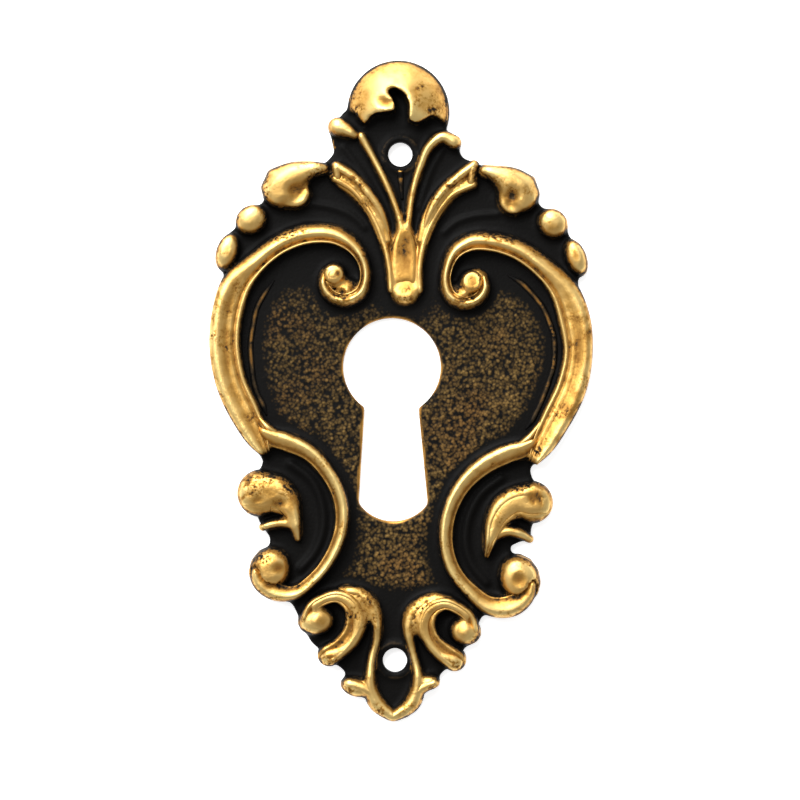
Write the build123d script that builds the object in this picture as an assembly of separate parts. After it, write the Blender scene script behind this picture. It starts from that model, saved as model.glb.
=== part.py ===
from build123d import *
import math
import os

# Keyhole escutcheon, one brass casting with a flat back and scrolled relief.
# Millimetres. The back lies on Z = 0, +Z comes out of the ornament and +Y runs up to the ball.
# The origin is on the back, midway between the two pin holes.
# The right half of the pattern sits a little lower than the left, so each side has its own places.

# Driving dimensions: fixing and key
PIN_SPACING = 41.45
PIN_HOLE_RADIUS = 1.0
PIN_SEAT_RADIUS = 1.5
PIN_SEAT_RISE = 0.2
KEY_X = -0.5
KEY_Y = 3.3
KEY_ROUND_RADIUS = 4.0
KEY_NECK_WIDTH = 4.4
KEY_FOOT_WIDTH = 5.65
KEY_FOOT_DROP = 11.2
KEY_FOOT_SAG = 1.45
KEY_LEAN = 0.22

# Driving dimensions: heights above the back
GROUND = 1.0
SCROLL_CREST = 2.6
BEAD_CREST = 2.5
CURL_CREST = 2.8
CROWN_CREST = 3.4
VOLUTE_CREST = 2.9
LEAF_CREST = 2.6
VEIN_CREST = 2.3
VOLUTE_FLOOR_CREST = 2.2
HOLLOW_CREST = 1.8
STEM_CREST = 2.1

# A moulding narrower than this on each side of its middle sinks towards the ground
FULL_HALF_WIDTH = 0.5

# The ball at the top: x, y and radius, and the height where it meets its upright foot
CROWN_BALL = (-0.2, 24.25, 4.2)
CROWN_FOOT = 0.9
# Hollow that each shoulder curl rolls round, with slanting sides
CURL_HOLLOW_RADIUS = 0.8
CURL_HOLLOW_DEPTH = 0.55
CURL_HOLLOW_SLANT = 45
CURL_HOLLOW_SIDES = 8

# Profiles across a moulding, from its outer foot to its inner foot: share of half width, share of rise
ROUND = [(1.0, 0.0), (0.84, 0.62), (0.42, 1.0), (-0.42, 1.0), (-0.84, 0.62), (-1.0, 0.0)]
LIPPED = [(1.0, 0.0), (0.74, 0.64), (0.34, 1.0), (-0.06, 1.0), (-0.5, 0.64), (-0.68, 0.78), (-1.0, 0.0)]
RIDGE = [(1.0, 0.0), (0.48, 1.0), (-0.48, 1.0), (-1.0, 0.0)]
# Small leaves are cut in straight flats, so many from each station to the next
FLATS = 2
# Rounded end of a moulding: share of its half width beyond the end, share of half width there, share of rise
HEAD = [(0.97, 0.28, 0.5), (0.74, 0.7, 0.86)]
# Oval buttons are cut in flats, ring over ring: share of the oval, share of rise
BUTTON_RINGS = [(1.0, 0.0), (0.92, 0.52), (0.7, 0.86), (0.36, 1.0)]
BUTTON_SIDES = 12

# Border scrolls, from the spiral beside the stem round to the corner at the waist: x, y, half width
LEFT_BORDER = [
    (-2.65, 10.5, 0.45), (-2.8, 11.6, 0.5), (-3.5, 12.9, 0.65), (-5.0, 13.95, 0.82), (-7.2, 14.15, 0.9),
    (-9.6, 13.35, 0.9), (-11.7, 11.75, 0.95), (-13.3, 9.95, 1.2), (-14.05, 7.6, 1.2), (-14.25, 5.0, 1.2),
    (-13.7, 1.9, 1.2), (-12.4, -0.9, 1.15), (-11.25, -3.0, 0.8), (-10.75, -3.9, 0.4),
]
RIGHT_BORDER = [
    (3.75, 10.2, 0.45), (3.9, 11.5, 0.5), (4.45, 12.7, 0.65), (5.8, 13.6, 0.82), (7.7, 13.6, 0.85),
    (9.8, 12.95, 0.9), (11.8, 11.55, 0.95), (13.4, 9.9, 1.15), (14.4, 7.45, 1.25), (14.75, 4.6, 1.15),
    (14.25, 1.8, 1.2), (12.95, -1.0, 1.15), (11.7, -3.3, 0.85), (11.1, -4.4, 0.4),
]
# Spiral at the end of each border: outer rim, sunk floor inside it, and the eye
LEFT_RIM = [
    (-2.7, 10.8, 0.45), (-3.05, 9.3, 0.5), (-4.35, 8.6, 0.5), (-5.65, 9.0, 0.48), (-6.2, 10.0, 0.45),
    (-6.0, 10.9, 0.35),
]
RIGHT_RIM = [
    (3.75, 10.5, 0.45), (4.05, 9.15, 0.5), (5.25, 8.45, 0.5), (6.5, 8.8, 0.48), (7.05, 9.8, 0.45),
    (6.85, 10.7, 0.35),
]
LEFT_VOLUTE_FLOOR = (-4.6, 9.55, 1.8, 1.15, -8)
RIGHT_VOLUTE_FLOOR = (5.45, 9.35, 1.75, 1.15, 8)
LEFT_EYE = (-5.35, 10.75, 1.08, 1.0, 20)
RIGHT_EYE = (6.0, 10.25, 1.12, 1.08, 0)

# Waist scrolls, from the corner under the border down to a ball
LEFT_WAIST = [
    (-10.7, -2.85, 0.75), (-9.0, -2.9, 0.8), (-7.2, -3.75, 0.75), (-5.6, -5.45, 0.68), (-4.55, -7.7, 0.62),
    (-4.45, -9.7, 0.6), (-5.2, -12.0, 0.55), (-6.7, -14.05, 0.52), (-8.4, -15.25, 0.65), (-10.0, -15.0, 0.88),
    (-11.1, -14.1, 0.8),
]
RIGHT_WAIST = [
    (10.9, -3.35, 0.75), (9.0, -3.7, 0.85), (7.1, -4.65, 0.85), (5.3, -6.4, 0.75), (4.25, -8.7, 0.67),
    (4.05, -10.9, 0.62), (4.6, -13.0, 0.62), (6.1, -14.9, 0.68), (7.9, -16.15, 0.9), (9.6, -16.0, 1.0),
    (10.75, -14.95, 0.78),
]
LEFT_BALL = (-10.3, -13.4, 2.0, 1.75, 65)
RIGHT_BALL = (10.1, -13.9, 2.1, 1.75, -65)

# Beads down each shoulder: x, y, half length, half width, turn from the X axis in degrees
LEFT_BEADS = [(-12.1, 15.2, 1.45, 1.25, 35), (-14.05, 12.55, 1.65, 0.98, 73)]
RIGHT_BEADS = [(12.5, 15.15, 1.4, 1.25, -40), (14.45, 12.4, 1.65, 0.92, -68)]
# Shoulder curls: a ball with a tail towards the palmette, and the lip and hollow it rolls round
LEFT_CURL = [
    (-9.45, 17.95, 1.95), (-8.7, 18.65, 1.5), (-7.6, 19.2, 0.95), (-6.7, 19.4, 0.65), (-5.9, 19.4, 0.4),
]
RIGHT_CURL = [
    (9.6, 17.75, 1.9), (8.9, 18.5, 1.45), (7.9, 19.05, 0.9), (7.2, 19.3, 0.62), (6.5, 19.35, 0.4),
]
LEFT_CURL_LIP = [(-9.4, 16.75, 0.5), (-8.5, 16.5, 0.52), (-7.8, 16.85, 0.5), (-7.7, 17.9, 0.4)]
RIGHT_CURL_LIP = [(9.9, 16.4, 0.5), (9.0, 16.2, 0.52), (8.45, 16.7, 0.5), (8.35, 17.7, 0.4)]
LEFT_CURL_HOLLOW = (-8.65, 17.55)
RIGHT_CURL_HOLLOW = (9.15, 17.3)

# Palmette: a stem with a rounded foot, and on each side a two-ridged blade and a thin inner vein
STEM = [(0.4, 15.7, 0.4), (0.4, 14.2, 0.95), (0.42, 12.6, 1.2), (0.45, 10.4, 1.25), (0.55, 9.3, 1.2)]
STEM_FOOT = (0.55, 9.4, 1.3, 1.1, 0)
LEFT_BLADE = [(-1.1, 13.4, 0.55), (-2.2, 16.2, 0.8), (-3.6, 17.9, 0.88), (-4.7, 18.75, 0.95), (-5.55, 19.2, 0.6)]
RIGHT_BLADE = [(1.85, 13.4, 0.55), (2.7, 15.9, 0.8), (3.9, 17.6, 0.88), (5.2, 18.6, 0.95), (6.1, 19.1, 0.6)]
LEFT_UPPER_RIDGE = [
    (-1.0, 14.4, 0.3), (-1.5, 15.8, 0.42), (-2.6, 17.45, 0.5), (-3.9, 18.8, 0.52), (-5.2, 19.6, 0.5),
]
RIGHT_UPPER_RIDGE = [
    (2.0, 14.4, 0.3), (2.4, 15.7, 0.42), (3.3, 17.4, 0.5), (4.6, 18.7, 0.52), (6.0, 19.8, 0.5),
]
LEFT_LOWER_RIDGE = [
    (-0.65, 9.6, 0.36), (-0.8, 11.4, 0.36), (-1.35, 13.6, 0.36), (-2.6, 16.2, 0.36), (-3.9, 17.75, 0.38),
    (-5.3, 18.6, 0.4),
]
RIGHT_LOWER_RIDGE = [
    (1.7, 9.6, 0.36), (1.65, 11.4, 0.36), (2.05, 13.6, 0.36), (3.1, 15.95, 0.36), (4.3, 17.4, 0.38),
    (6.0, 18.25, 0.4),
]
LEFT_VEIN = [
    (0.15, 14.4, 0.34), (-0.35, 16.4, 0.34), (-1.35, 18.7, 0.36), (-2.3, 20.5, 0.36), (-3.2, 22.1, 0.42),
]
RIGHT_VEIN = [
    (4.35, 21.7, 0.66), (3.5, 22.1, 0.58), (2.5, 21.45, 0.5), (1.65, 19.7, 0.4), (0.9, 17.0, 0.34),
    (0.7, 14.4, 0.34),
]
LEFT_TIP = [(-5.1, 22.85, 0.85), (-4.5, 22.6, 0.7), (-3.8, 22.2, 0.45)]

# Cut under the ball, with its hook
CROWN_CUT = [
    (-3.9, 24.2), (-2.95, 22.9), (-2.55, 23.5), (-2.1, 23.9), (-1.2, 23.95), (-0.4, 24.15), (-0.65, 25.0),
    (-1.2, 25.8), (-0.5, 26.0), (0.3, 25.5), (0.7, 24.6), (0.65, 23.3), (1.4, 23.1), (2.6, 23.85),
    (3.6, 23.3), (5.0, 22.0), (5.0, 19.0), (-5.0, 19.0), (-5.0, 23.8),
]

# Side leaves: a main lobe that rolls over and runs down to a point, and a thin second lobe below it
LEFT_LEAF = [
    (-11.1, -7.15, 1.95), (-9.9, -7.15, 1.65), (-9.0, -7.75, 1.25), (-8.45, -8.8, 0.75), (-8.2, -9.8, 0.5),
    (-8.05, -10.8, 0.3),
]
RIGHT_LEAF = [
    (11.05, -7.65, 1.75), (9.9, -7.6, 1.4), (8.85, -8.2, 1.3), (8.1, -9.25, 1.0), (7.7, -10.6, 0.6),
    (7.4, -12.0, 0.25),
]
LEFT_LOBE = [(-8.3, -9.75, 0.5), (-9.5, -9.55, 0.5), (-10.9, -9.9, 0.45)]
RIGHT_LOBE = [(7.9, -10.4, 0.6), (9.0, -10.0, 0.55), (10.1, -10.2, 0.5), (10.9, -10.65, 0.35)]

# Foot leaves: a C-shaped band round an eye, and a ridge from it down to the point
LEFT_FOOT_BAND = [
    (-5.35, -20.35, 0.9), (-4.1, -19.75, 0.6), (-3.2, -18.6, 0.68), (-2.95, -17.2, 0.95), (-3.5, -16.05, 0.8),
    (-4.7, -15.45, 0.6), (-5.95, -15.75, 0.55), (-6.85, -16.4, 0.6),
]
RIGHT_FOOT_BAND = [
    (4.85, -20.65, 0.88), (3.6, -20.1, 0.58), (2.65, -18.9, 0.55), (2.2, -17.5, 0.9), (2.8, -16.4, 0.75),
    (4.0, -15.95, 0.6), (5.25, -16.4, 0.55), (6.05, -17.1, 0.6),
]
LEFT_FOOT_EYE = (-6.45, -17.5, 1.6, 1.25, 10)
RIGHT_FOOT_EYE = (5.7, -18.25, 1.4, 1.2, -15)
LEFT_TIP_RIDGE = [
    (-4.4, -14.95, 0.4), (-3.1, -15.2, 0.65), (-2.2, -15.9, 0.8), (-1.75, -16.9, 0.75), (-1.5, -17.9, 0.52),
    (-1.5, -18.9, 0.42), (-1.85, -20.3, 0.4), (-2.0, -21.6, 0.48), (-2.0, -22.8, 0.62), (-1.35, -24.25, 0.75),
    (-0.1, -25.3, 0.5),
]
RIGHT_TIP_RIDGE = [
    (4.4, -15.65, 0.4), (3.1, -15.65, 0.65), (1.95, -16.25, 0.8), (1.3, -17.1, 0.78), (1.1, -18.1, 0.6),
    (1.25, -19.1, 0.46), (1.55, -20.3, 0.42), (1.85, -21.6, 0.48), (1.9, -22.7, 0.62), (1.4, -24.15, 0.75),
    (-0.1, -25.3, 0.5),
]
LEFT_BUD = (-3.15, -22.9, 1.35, 0.85, -15)
RIGHT_BUD = (2.8, -22.45, 0.95, 0.7, 10)

# Ground plate under the relief, through the notches of the outline
PLATE = [
    (0.0, 26.0), (3.3, 23.4), (4.6, 21.6), (5.1, 20.5), (6.5, 20.0), (10.0, 18.5), (11.5, 16.7), (13.0, 15.0),
    (13.85, 14.4), (14.6, 12.0), (14.7, 10.3), (14.8, 6.0), (14.4, 2.5), (13.0, -1.0), (10.9, -5.0),
    (11.6, -7.5), (10.9, -10.6), (9.3, -11.3), (10.2, -14.0), (9.0, -16.2), (7.2, -16.9), (5.9, -19.5),
    (4.0, -21.6), (2.4, -23.3), (-0.1, -25.4), (-2.5, -23.7), (-4.2, -21.6), (-6.9, -19.3), (-8.4, -16.3),
    (-10.3, -14.5), (-10.35, -10.75), (-11.3, -9.4), (-11.6, -7.5), (-11.0, -4.5), (-12.8, -1.0),
    (-14.0, 2.5), (-14.3, 6.0), (-14.4, 10.4), (-14.2, 12.0), (-13.8, 14.3), (-12.5, 15.2), (-11.3, 16.6),
    (-9.8, 18.5), (-6.1, 20.0), (-5.4, 20.8), (-5.75, 22.3), (-4.75, 24.1),
]


def head(end, inner):
    """Stations that round off a moulding beyond one end."""
    x, y, half_width = end
    away = (Vector(x, y) - Vector(inner[0], inner[1])).normalized() * half_width
    return [(x + away.X * reach, y + away.Y * reach, half_width * wide, up) for reach, wide, up in HEAD]


def moulding(stations, crest, profile, outer=1, heads=0, cuts=0):
    """A moulding along a smooth curve, upright below the ground, sinking where it is narrow.

    Its outer foot is on the left of the way along the curve, or on the right where outer is -1.
    The start is rounded off with one head, and the end as well with two.
    It runs smoothly through its stations, or in straight flats, so many from each station to the next.
    """
    rows = [(x, y, half_width, min(1.0, half_width / FULL_HALF_WIDTH)) for x, y, half_width in stations]
    if heads > 0:
        rows = head(stations[0], stations[1]) + rows
    if heads > 1:
        rows = rows + head(stations[-1], stations[-2])[::-1]
    spine = Spline(*[(x, y) for x, y, half_width, share in rows])
    marks = [(spine.param_at_point(Vector(x, y)), half_width, share) for x, y, half_width, share in rows]
    if cuts > 1:
        fine = []
        for start, end in zip(marks, marks[1:]):
            fine += [tuple(a + (b - a) * cut / cuts for a, b in zip(start, end)) for cut in range(cuts)]
        marks = fine + marks[-1:]
    sections = []
    for mark, half_width, share in marks:
        rise = (crest - GROUND) * share
        across = Vector(0, 0, 1).cross(spine.tangent_at(mark))
        face = [(outer * side * half_width, GROUND + up * rise) for side, up in profile]
        outline = Polyline((outer * half_width, 0), *face, (-outer * half_width, 0), close=True)
        plane = Plane(origin=spine.position_at(mark), x_dir=across, z_dir=spine.tangent_at(mark))
        sections.append(plane * make_face(outline))
    if cuts > 0:
        return loft(sections, ruled=True)
    return sweep(sections, path=spine, multisection=True)


def dome(place, crest):
    """An oval button on an upright foot."""
    x, y, half_length, half_width, turn = place
    turns = [2 * math.pi * side / BUTTON_SIDES for side in range(BUTTON_SIDES)]
    oval = [(half_length * math.cos(angle), half_width * math.sin(angle)) for angle in turns]
    foot = [(1.0, 0.0)]
    rings = foot + [(size, GROUND + up * (crest - GROUND)) for size, up in BUTTON_RINGS]
    sections = []
    for size, z in rings:
        outline = Polyline(*[(size * u, size * v) for u, v in oval], close=True)
        sections.append(Pos(x, y, z) * Rot(0, 0, turn) * make_face(outline))
    return loft(sections, ruled=True)


def crown():
    """The ball at the top on its upright foot, cut away underneath along a hooked edge."""
    x, y, radius = CROWN_BALL
    rise = CROWN_CREST - CROWN_FOOT
    curve = (radius**2 + rise**2) / (2 * rise)
    post = Pos(x, y, 0) * extrude(Circle(radius), CROWN_CREST)
    ball = post & Pos(x, y, CROWN_CREST - curve) * Sphere(curve)
    cut = extrude(make_face(Polyline(*CROWN_CUT, close=True)), CROWN_CREST)
    return ball - Pos(0, 0, GROUND) * cut


def curl(body, lip, hollow):
    """A shoulder curl: ball and tail with a hollow pressed in, and the lip round it."""
    mouth = RegularPolygon(CURL_HOLLOW_RADIUS, CURL_HOLLOW_SIDES)
    pit = extrude(mouth, -CURL_HOLLOW_DEPTH, taper=CURL_HOLLOW_SLANT)
    rolled = moulding(body, CURL_CREST, ROUND, heads=1, cuts=FLATS) - Pos(*hollow, CURL_CREST) * pit
    return rolled + moulding(lip, VEIN_CREST, RIDGE, cuts=FLATS)


def keyhole():
    """A round with a slot that widens to a bowed foot."""
    neck_y = KEY_Y - (KEY_ROUND_RADIUS**2 - (KEY_NECK_WIDTH / 2) ** 2) ** 0.5
    neck_half = KEY_NECK_WIDTH / 2
    foot_x = KEY_X + KEY_LEAN
    foot_y = KEY_Y - KEY_FOOT_DROP
    foot_half = KEY_FOOT_WIDTH / 2
    outline = ThreePointArc(
        (foot_x - foot_half, foot_y), (foot_x, foot_y - KEY_FOOT_SAG), (foot_x + foot_half, foot_y))
    outline += Polyline(
        (foot_x + foot_half, foot_y), (KEY_X + neck_half, neck_y), (KEY_X, KEY_Y),
        (KEY_X - neck_half, neck_y), (foot_x - foot_half, foot_y))
    opening = make_face(outline) + Pos(KEY_X, KEY_Y) * Circle(KEY_ROUND_RADIUS)
    return extrude(opening, CROWN_CREST, both=True)


def pin_places():
    return [Pos(0, end * PIN_SPACING / 2, 0) for end in (1, -1)]


def scrolls():
    pieces = [moulding(band, SCROLL_CREST, LIPPED) for band in (RIGHT_BORDER, LEFT_WAIST)]
    pieces += [moulding(band, SCROLL_CREST, LIPPED, outer=-1) for band in (LEFT_BORDER, RIGHT_WAIST)]
    pieces += [moulding(rim, SCROLL_CREST, ROUND, cuts=FLATS) for rim in (LEFT_RIM, RIGHT_RIM)]
    pieces += [dome(floor, VOLUTE_FLOOR_CREST) for floor in (LEFT_VOLUTE_FLOOR, RIGHT_VOLUTE_FLOOR)]
    pieces += [dome(ball, VOLUTE_CREST) for ball in (LEFT_EYE, RIGHT_EYE, LEFT_BALL, RIGHT_BALL)]
    return pieces


def shoulders():
    pieces = [dome(bead, BEAD_CREST) for bead in LEFT_BEADS + RIGHT_BEADS]
    pieces.append(curl(LEFT_CURL, LEFT_CURL_LIP, LEFT_CURL_HOLLOW))
    pieces.append(curl(RIGHT_CURL, RIGHT_CURL_LIP, RIGHT_CURL_HOLLOW))
    return pieces


def palmette():
    pieces = [moulding(STEM, HOLLOW_CREST, ROUND, cuts=FLATS), dome(STEM_FOOT, STEM_CREST)]
    pieces += [moulding(blade, HOLLOW_CREST, ROUND, cuts=FLATS) for blade in (LEFT_BLADE, RIGHT_BLADE)]
    ridges = [LEFT_UPPER_RIDGE, RIGHT_UPPER_RIDGE, LEFT_LOWER_RIDGE, RIGHT_LOWER_RIDGE, LEFT_VEIN]
    pieces += [moulding(ridge, VEIN_CREST, RIDGE, cuts=FLATS) for ridge in ridges]
    pieces += [moulding(tip, VEIN_CREST, RIDGE, heads=1, cuts=FLATS) for tip in (RIGHT_VEIN, LEFT_TIP)]
    return pieces


def leaves():
    rolled = [LEFT_LEAF, RIGHT_LEAF, LEFT_FOOT_BAND, RIGHT_FOOT_BAND]
    thin = [LEFT_LOBE, RIGHT_LOBE, LEFT_TIP_RIDGE, RIGHT_TIP_RIDGE]
    pieces = [moulding(leaf, LEAF_CREST, ROUND, heads=1, cuts=FLATS) for leaf in rolled]
    pieces += [moulding(ridge, VEIN_CREST, RIDGE, cuts=FLATS) for ridge in thin]
    pieces += [dome(eye, LEAF_CREST) for eye in (LEFT_FOOT_EYE, RIGHT_FOOT_EYE)]
    pieces += [dome(bud, VEIN_CREST) for bud in (LEFT_BUD, RIGHT_BUD)]
    return pieces


def escutcheon():
    casting = extrude(make_face(Polyline(*PLATE, close=True)), GROUND)
    seats = [place * extrude(Circle(PIN_SEAT_RADIUS), GROUND + PIN_SEAT_RISE) for place in pin_places()]
    casting += scrolls() + shoulders() + palmette() + leaves() + [crown()] + seats
    casting -= [place * extrude(Circle(PIN_HOLE_RADIUS), CROWN_CREST, both=True) for place in pin_places()]
    casting -= keyhole()
    return split(casting, Plane.XY, keep=Keep.TOP)


os.makedirs("parts", exist_ok=True)
export_step(escutcheon(), "parts/escutcheon_plate.step")
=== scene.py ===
import math

import bmesh
import bpy
import numpy as np
from mathutils import Matrix, Vector, noise


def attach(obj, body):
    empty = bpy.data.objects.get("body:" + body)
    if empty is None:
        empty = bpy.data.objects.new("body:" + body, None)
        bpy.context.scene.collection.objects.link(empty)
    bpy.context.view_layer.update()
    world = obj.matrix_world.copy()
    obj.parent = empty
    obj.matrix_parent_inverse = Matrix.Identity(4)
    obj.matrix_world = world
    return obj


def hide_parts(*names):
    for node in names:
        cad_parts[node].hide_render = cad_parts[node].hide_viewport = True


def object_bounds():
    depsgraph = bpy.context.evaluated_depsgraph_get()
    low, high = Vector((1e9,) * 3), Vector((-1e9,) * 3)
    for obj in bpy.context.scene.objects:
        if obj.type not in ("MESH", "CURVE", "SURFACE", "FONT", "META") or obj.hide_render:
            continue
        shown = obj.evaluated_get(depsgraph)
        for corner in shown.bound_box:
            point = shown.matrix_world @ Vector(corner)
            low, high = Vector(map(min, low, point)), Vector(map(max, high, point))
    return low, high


# Keyhole escutcheon in antiqued brass, lying on a white table and seen from straight above.
# The plate is worked in millimetres and scaled to metres when it is finished.

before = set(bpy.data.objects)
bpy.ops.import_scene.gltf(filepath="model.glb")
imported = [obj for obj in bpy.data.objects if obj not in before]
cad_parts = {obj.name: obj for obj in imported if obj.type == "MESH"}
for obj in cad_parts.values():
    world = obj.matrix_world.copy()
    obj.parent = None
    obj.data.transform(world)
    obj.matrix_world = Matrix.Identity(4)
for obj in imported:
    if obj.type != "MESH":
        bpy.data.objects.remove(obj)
cad_low, cad_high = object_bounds()

MM = 0.001

# The casting's own levels
GROUND = 1.0
BACK = 0.0

# Even skin laid over the solid before the chasing
SKIN_GRAIN = 0.19
SKIN_SMOOTHINGS = 3
SKIN_SMOOTHING = 0.5
# Points of the solid this near to each other, in metres, are one point
SAME_POINT = 1e-7
# How far down a face has to look to be the back: on the even skin, and on the finished plate
SKIN_BACK_TILT = -0.5
PLAIN_BACK_TILT = -0.99

# Camera: width and middle of the view at the focus level, lean in degrees, lens and sensor
PHOTO_WIDTH = 65.35
PHOTO_CENTRE = (0.19, 0.60)
PHOTO_LEAN = 0.61
LENS = 120.0
SENSOR = 36.0
FOCUS_LEVEL = 1.5
# Nearest and farthest that the camera sees, in metres
SIGHT = (0.001, 10.0)

# White table, a hair below the back, with its half width in metres
TABLE_GAP = 0.02
TABLE_HALF_WIDTH = 1.5
TABLE_COLOUR = (0.9, 0.9, 0.9)
TABLE_ROUGHNESS = 0.8
TABLE_GLOW = 0.75

# Sky of the room, from its sides to overhead: height, colour
SKY = [(0.7, (0.58, 0.57, 0.56)), (0.98, (0.13, 0.11, 0.085))]
# Way to the brighter side of the room, the span along it, and the sky's strength at the two ends
WINDOW_SIDE = (-0.3, 0.6, 0.0)
WINDOW_SPAN = (-0.7, 0.7)
WINDOW_STRENGTH = (0.75, 1.3)
# Lamps, in metres and watts: name, place, size, energy
LAMPS = [
    ("key light", (-0.1, 0.17, 0.26), 0.28, 1.5),
    ("wall light", (-0.08, 0.34, 0.09), 0.26, 1.3),
]

# Fine step between the dark moat along each border and the ground
LEFT_STEP = [
    (-10.2, 10.3), (-11.1, 9.0), (-11.6, 8.0), (-11.9, 6.5), (-12.1, 5.0), (-12.0, 3.5), (-11.8, 2.0),
    (-11.5, 1.0), (-11.0, 0.0), (-10.7, -0.8),
]
RIGHT_STEP = [
    (8.9, 10.9), (10.0, 10.3), (11.0, 9.3), (11.8, 8.3), (12.3, 7.2), (12.7, 6.0), (12.8, 4.8), (12.7, 3.5),
    (12.4, 2.4), (12.0, 1.2), (11.5, 0.0), (11.0, -1.0), (10.5, -1.7),
]
STEP_HALF_WIDTH = 0.26
STEP_END = 0.08
STEP_CREST = 1.4

# Heights of the mouldings' crests
SCROLL_CREST = 2.62
LEAF_CREST = 2.62
VEIN_CREST = 2.34
HOLLOW_CREST = 1.84

# Bars laid over the mouldings: half width that gets the full rise, level of the underside, length of a row
FULL_HALF_WIDTH = 0.5
SKIRT = 0.35
WAY_STEP = 0.17
# Half width of the flat grid that a bar is bent from, and the rise that marks its skirt
HALF_GRID = 0.5
SKIRT_MARK = -1.0
# Points of a bar this near to each other are one point
BAR_SEAM = 1e-5
# Rounded head of a bar: length of a step round it, fewest steps, half width of the tip, power of its fall
HEAD_STEP = 0.1
HEAD_STEPS = 4
HEAD_TIP = 0.01
HEAD_FALL = 0.7
# How near in height the skin has to be to go under a bar, and how far it goes under
TUCK_REACH = 0.45
TUCK_DEPTH = 0.16

# Profiles across a moulding, outer foot to inner foot: share of half width, share of rise, rubbing. The
# rubbing is lowered in the coves, troughs and grooves, giving a browner colour that is partly patina there
# and partly painted shade; above 1 on the lips it gives a brighter worn brass
LIPPED = [
    (1.0, 0.0, 1.0), (0.99, 0.4, 1.0), (0.94, 0.68, 1.0), (0.83, 0.88, 1.0), (0.65, 0.98, 1.0),
    (0.43, 1.0, 1.0), (0.2, 0.95, 0.96), (-0.04, 0.84, 0.84), (-0.24, 0.79, 0.82), (-0.44, 0.82, 0.98),
    (-0.57, 0.77, 0.95), (-0.67, 0.66, 0.6), (-0.76, 0.69, 0.95), (-0.86, 0.79, 1.5), (-0.98, 0.79, 1.5),
    (-1.09, 0.62, 1.3), (-1.17, 0.34, 1.0), (-1.23, 0.0, 1.0),
]
CRESTED = [
    (1.0, 0.0, 0.3), (0.97, 0.16, 0.4), (0.9, 0.36, 0.55), (0.77, 0.55, 0.72), (0.58, 0.72, 0.85),
    (0.36, 0.87, 0.97), (0.14, 0.97, 1.0), (-0.06, 1.0, 1.0), (-0.26, 0.97, 1.0), (-0.43, 0.88, 0.97),
    (-0.56, 0.76, 0.85), (-0.65, 0.66, 0.6), (-0.72, 0.69, 0.95), (-0.8, 0.79, 1.5), (-0.9, 0.79, 1.5),
    (-0.99, 0.62, 1.3), (-1.06, 0.34, 1.0), (-1.12, 0.0, 1.0),
]
ROLLED = [
    (1.0, 0.0, 1.0), (0.96, 0.32, 1.0), (0.87, 0.62, 1.0), (0.72, 0.86, 1.0), (0.5, 0.98, 1.0),
    (0.25, 1.0, 1.0), (-0.02, 0.96, 0.95), (-0.28, 0.88, 0.88), (-0.5, 0.78, 0.75), (-0.62, 0.7, 0.6),
    (-0.72, 0.7, 0.75), (-0.81, 0.7, 1.3), (-0.9, 0.52, 1.2), (-0.96, 0.28, 1.0), (-1.0, 0.0, 1.0),
]
DISHED = [
    (1.0, 0.0, 1.0), (0.96, 0.34, 1.0), (0.85, 0.68, 1.0), (0.67, 0.92, 1.0), (0.45, 1.0, 1.0),
    (0.22, 0.95, 0.95), (-0.02, 0.84, 0.75), (-0.25, 0.78, 0.65), (-0.46, 0.82, 0.8), (-0.66, 0.9, 1.0),
    (-0.82, 0.78, 1.0), (-0.94, 0.42, 1.0), (-1.0, 0.0, 1.0),
]
LEAF = [
    (1.0, 0.0, 1.0), (0.96, 0.34, 1.0), (0.85, 0.66, 1.0), (0.67, 0.88, 1.0), (0.45, 0.98, 1.0),
    (0.2, 1.0, 1.0), (-0.06, 0.97, 1.0), (-0.32, 0.92, 0.95), (-0.56, 0.85, 0.9), (-0.76, 0.79, 1.0),
    (-0.89, 0.62, 1.0), (-1.0, 0.0, 1.0),
]
RIDGE = [
    (1.0, 0.0, 1.0), (0.9, 0.42, 1.0), (0.7, 0.78, 1.0), (0.38, 0.96, 1.0), (0.0, 1.0, 1.0),
    (-0.38, 0.96, 1.0), (-0.7, 0.78, 1.0), (-0.9, 0.42, 1.0), (-1.0, 0.0, 1.0),
]
# The fine step's rubbing above 1 gives a brighter colour: partly worn brass, partly a painted highlight
STEP_LINE = [
    (1.0, 0.0, 1.0), (0.72, 0.6, 1.15), (0.35, 0.94, 1.25), (0.0, 1.0, 1.25), (-0.35, 0.94, 1.25),
    (-0.72, 0.6, 1.15), (-1.0, 0.0, 1.0),
]
TROUGH = [
    (1.0, 0.0, 0.9), (0.92, 0.6, 0.9), (0.75, 0.95, 0.9), (0.5, 0.98, 0.8), (0.0, 1.02, 0.76),
    (-0.5, 0.98, 0.8), (-0.75, 0.95, 0.9), (-0.92, 0.6, 0.9), (-1.0, 0.0, 0.9),
]

# Share of a border's way along which its crested upper part passes into its lipped side
BORDER_CHANGE = (0.48, 0.64)
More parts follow.
